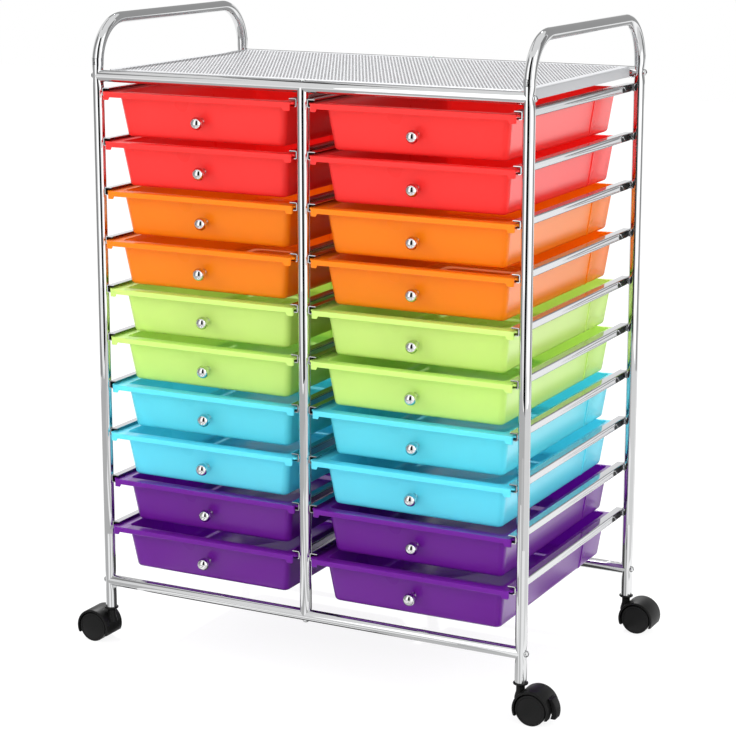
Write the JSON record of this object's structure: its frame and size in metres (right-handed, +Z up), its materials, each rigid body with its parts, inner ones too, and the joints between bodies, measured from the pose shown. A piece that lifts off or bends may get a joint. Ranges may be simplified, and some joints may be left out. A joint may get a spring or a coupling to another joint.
{
  "type": "rolling drawer tower",
  "caption": "Rolling tower of shallow pull-out trays in two columns, on runners in a chromed tube frame with a perforated top shelf, side handles and swivel casters.",
  "frame": {"origin": "on the floor, under the middle of the frame", "axes": "+X to the right seen from the front, +Y to the back, +Z up; the trays open towards -Y"},
  "size_m": [0.742, 0.423, 0.89],
  "materials": {
    "chrome_tube": "bright chrome plating on steel tube",
    "runner_steel": "chrome plated sheet steel",
    "fastener_steel": "zinc and chrome plated steel",
    "knob_chrome": "polished chrome",
    "shelf_steel": "satin silver grey coating",
    "tray_red": "translucent glossy polypropylene",
    "tray_orange": "translucent glossy polypropylene",
    "tray_green": "translucent glossy polypropylene",
    "tray_blue": "translucent glossy polypropylene",
    "tray_purple": "translucent glossy polypropylene",
    "caster_plastic": "fine grained black plastic",
    "wheel_plastic": "satin black plastic",
    "socket_plastic": "black plastic"
  },
  "bodies": {
    "frame": {"side_frame_left": "chrome_tube", "side_frame_right": "chrome_tube", "middle_posts": "chrome_tube", "cross_rails": "chrome_tube", "top_shelf": "shelf_steel", "side_runners": "runner_steel", "middle_runners": "runner_steel", "frame_screws": "fastener_steel", "caster_sockets": "socket_plastic", "caster_stems": "fastener_steel"},
    "tray_left_01": {"drawer_left_01": "tray_red", "knob_left_01": "knob_chrome"},
    "tray_left_02": {"drawer_left_02": "tray_red", "knob_left_02": "knob_chrome"},
    "tray_left_03": {"drawer_left_03": "tray_orange", "knob_left_03": "knob_chrome"},
    "tray_left_04": {"drawer_left_04": "tray_orange", "knob_left_04": "knob_chrome"},
    "tray_left_05": {"drawer_left_05": "tray_green", "knob_left_05": "knob_chrome"},
    "tray_left_06": {"drawer_left_06": "tray_green", "knob_left_06": "knob_chrome"},
    "tray_left_07": {"drawer_left_07": "tray_blue", "knob_left_07": "knob_chrome"},
    "tray_left_08": {"drawer_left_08": "tray_blue", "knob_left_08": "knob_chrome"},
    "tray_left_09": {"drawer_left_09": "tray_purple", "knob_left_09": "knob_chrome"},
    "tray_left_10": {"drawer_left_10": "tray_purple", "knob_left_10": "knob_chrome"},
    "tray_right_01": {"drawer_right_01": "tray_red", "knob_right_01": "knob_chrome"},
    "tray_right_02": {"drawer_right_02": "tray_red", "knob_right_02": "knob_chrome"},
    "tray_right_03": {"drawer_right_03": "tray_orange", "knob_right_03": "knob_chrome"},
    "tray_right_04": {"drawer_right_04": "tray_orange", "knob_right_04": "knob_chrome"},
    "tray_right_05": {"drawer_right_05": "tray_green", "knob_right_05": "knob_chrome"},
    "tray_right_06": {"drawer_right_06": "tray_green", "knob_right_06": "knob_chrome"},
    "tray_right_07": {"drawer_right_07": "tray_blue", "knob_right_07": "knob_chrome"},
    "tray_right_08": {"drawer_right_08": "tray_blue", "knob_right_08": "knob_chrome"},
    "tray_right_09": {"drawer_right_09": "tray_purple", "knob_right_09": "knob_chrome"},
    "tray_right_10": {"drawer_right_10": "tray_purple", "knob_right_10": "knob_chrome"},
    "caster_front_left": {"caster_housing_front_left": "caster_plastic"},
    "wheels_front_left": {"caster_wheels_front_left": "wheel_plastic"},
    "caster_front_right": {"caster_housing_front_right": "caster_plastic"},
    "wheels_front_right": {"caster_wheels_front_right": "wheel_plastic"},
    "brake_front_right": {"caster_brake_front_right": "caster_plastic"},
    "caster_rear_left": {"caster_housing_rear_left": "caster_plastic"},
    "wheels_rear_left": {"caster_wheels_rear_left": "wheel_plastic"},
    "brake_rear_left": {"caster_brake_rear_left": "caster_plastic"},
    "caster_rear_right": {"caster_housing_rear_right": "caster_plastic"},
    "wheels_rear_right": {"caster_wheels_rear_right": "wheel_plastic"}
  },
  "joints": [
    {"name": "drawer_left_01_slide", "type": "slide", "parent": "frame", "child": "tray_left_01", "axis": [0, -1, 0], "range_m": [-0.006, 0.29]},
    {"name": "drawer_left_02_slide", "type": "slide", "parent": "frame", "child": "tray_left_02", "axis": [0, -1, 0], "range_m": [-0.003, 0.29]},
    {"name": "drawer_left_03_slide", "type": "slide", "parent": "frame", "child": "tray_left_03", "axis": [0, -1, 0], "range_m": [0, 0.29]},
    {"name": "drawer_left_04_slide", "type": "slide", "parent": "frame", "child": "tray_left_04", "axis": [0, -1, 0], "range_m": [-0.006, 0.29]},
    {"name": "drawer_left_05_slide", "type": "slide", "parent": "frame", "child": "tray_left_05", "axis": [0, -1, 0], "range_m": [0, 0.29]},
    {"name": "drawer_left_06_slide", "type": "slide", "parent": "frame", "child": "tray_left_06", "axis": [0, -1, 0], "range_m": [0, 0.29]},
    {"name": "drawer_left_07_slide", "type": "slide", "parent": "frame", "child": "tray_left_07", "axis": [0, -1, 0], "range_m": [0, 0.29]},
    {"name": "drawer_left_08_slide", "type": "slide", "parent": "frame", "child": "tray_left_08", "axis": [0, -1, 0], "range_m": [-0.006, 0.29]},
    {"name": "drawer_left_09_slide", "type": "slide", "parent": "frame", "child": "tray_left_09", "axis": [0, -1, 0], "range_m": [0, 0.29]},
    {"name": "drawer_left_10_slide", "type": "slide", "parent": "frame", "child": "tray_left_10", "axis": [0, -1, 0], "range_m": [-0.006, 0.29]},
    {"name": "drawer_right_01_slide", "type": "slide", "parent": "frame", "child": "tray_right_01", "axis": [0, -1, 0], "range_m": [-0.003, 0.29]},
    {"name": "drawer_right_02_slide", "type": "slide", "parent": "frame", "child": "tray_right_02", "axis": [0, -1, 0], "range_m": [-0.003, 0.29]},
    {"name": "drawer_right_03_slide", "type": "slide", "parent": "frame", "child": "tray_right_03", "axis": [0, -1, 0], "range_m": [-0.003, 0.29]},
    {"name": "drawer_right_04_slide", "type": "slide", "parent": "frame", "child": "tray_right_04", "axis": [0, -1, 0], "range_m": [-0.003, 0.29]},
    {"name": "drawer_right_05_slide", "type": "slide", "parent": "frame", "child": "tray_right_05", "axis": [0, -1, 0], "range_m": [-0.0015, 0.29]},
    {"name": "drawer_right_06_slide", "type": "slide", "parent": "frame", "child": "tray_right_06", "axis": [0, -1, 0], "range_m": [-0.0045, 0.29]},
    {"name": "drawer_right_07_slide", "type": "slide", "parent": "frame", "child": "tray_right_07", "axis": [0, -1, 0], "range_m": [0, 0.29]},
    {"name": "drawer_right_08_slide", "type": "slide", "parent": "frame", "child": "tray_right_08", "axis": [0, -1, 0], "range_m": [-0.0045, 0.29]},
    {"name": "drawer_right_09_slide", "type": "slide", "parent": "frame", "child": "tray_right_09", "axis": [0, -1, 0], "range_m": [0, 0.29]},
    {"name": "drawer_right_10_slide", "type": "slide", "parent": "frame", "child": "tray_right_10", "axis": [0, -1, 0], "range_m": [-0.006, 0.29]},
    {"name": "caster_front_left_swivel", "type": "hinge", "parent": "frame", "child": "caster_front_left", "pos_m": [-0.3175, -0.192, 0.04], "axis": [0, 0, 1], "continuous": true},
    {"name": "caster_front_left_roll", "type": "hinge", "parent": "caster_front_left", "child": "wheels_front_left", "pos_m": [-0.3385, -0.192, 0.021], "axis": [0, 1, 0], "continuous": true},
    {"name": "caster_front_right_swivel", "type": "hinge", "parent": "frame", "child": "caster_front_right", "pos_m": [0.3175, -0.192, 0.04], "axis": [0, 0, 1], "continuous": true},
    {"name": "caster_front_right_roll", "type": "hinge", "parent": "caster_front_right", "child": "wheels_front_right", "pos_m": [0.3385, -0.192, 0.021], "axis": [0, 1, 0], "continuous": true},
    {"name": "brake_front_right_press", "type": "hinge", "parent": "caster_front_right", "child": "brake_front_right", "pos_m": [0.35021, -0.192, 0.03401], "axis": [0, 1, 0], "range_deg": [0, 10]},
    {"name": "caster_rear_left_swivel", "type": "hinge", "parent": "frame", "child": "caster_rear_left", "pos_m": [-0.3175, 0.192, 0.04], "axis": [0, 0, 1], "continuous": true},
    {"name": "caster_rear_left_roll", "type": "hinge", "parent": "caster_rear_left", "child": "wheels_rear_left", "pos_m": [-0.3385, 0.192, 0.021], "axis": [0, 1, 0], "continuous": true},
    {"name": "brake_rear_left_press", "type": "hinge", "parent": "caster_rear_left", "child": "brake_rear_left", "pos_m": [-0.35021, 0.192, 0.03401], "axis": [0, -1, 0], "range_deg": [0, 10]},
    {"name": "caster_rear_right_swivel", "type": "hinge", "parent": "frame", "child": "caster_rear_right", "pos_m": [0.3175, 0.192, 0.04], "axis": [0, 0, 1], "continuous": true},
    {"name": "caster_rear_right_roll", "type": "hinge", "parent": "caster_rear_right", "child": "wheels_rear_right", "pos_m": [0.3385, 0.192, 0.021], "axis": [0, 1, 0], "continuous": true}
  ]
}
